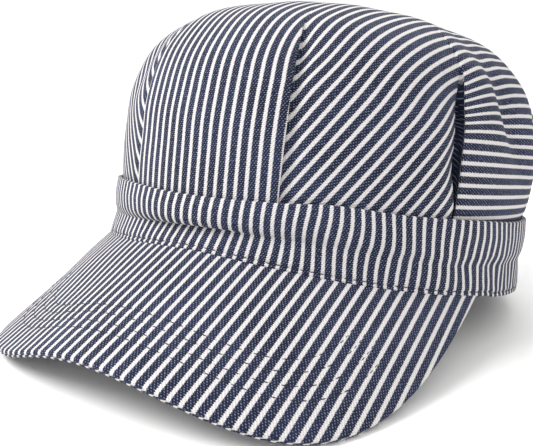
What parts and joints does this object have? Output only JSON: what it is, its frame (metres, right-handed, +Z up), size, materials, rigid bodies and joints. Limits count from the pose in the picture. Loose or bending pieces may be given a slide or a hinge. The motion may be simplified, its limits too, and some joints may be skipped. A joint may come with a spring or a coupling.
{
  "type": "railroad engineer cap",
  "caption": "Striped denim engineer cap: a soft pleated crown with a domed top, a creased band and a curved, quilted visor, hollow and open below.",
  "frame": {"origin": "middle of the foot of the bounding box, on the surface that the cap rests on", "axes": "+Z up, -Y the wearer's front, where the visor is, +X the wearer's left"},
  "size_m": [0.1846, 0.2426, 0.1265],
  "materials": {
    "crown_denim": "hickory-stripe twill denim, navy with narrow off-white stripes",
    "band_denim": "hickory-stripe twill denim, creased, stripes upright",
    "visor_denim": "hickory-stripe twill denim over a stiffener, with rows of dark quilting"
  },
  "bodies": {
    "root": {"crown": "crown_denim", "band": "band_denim", "visor": "visor_denim"}
  },
  "joints": []
}
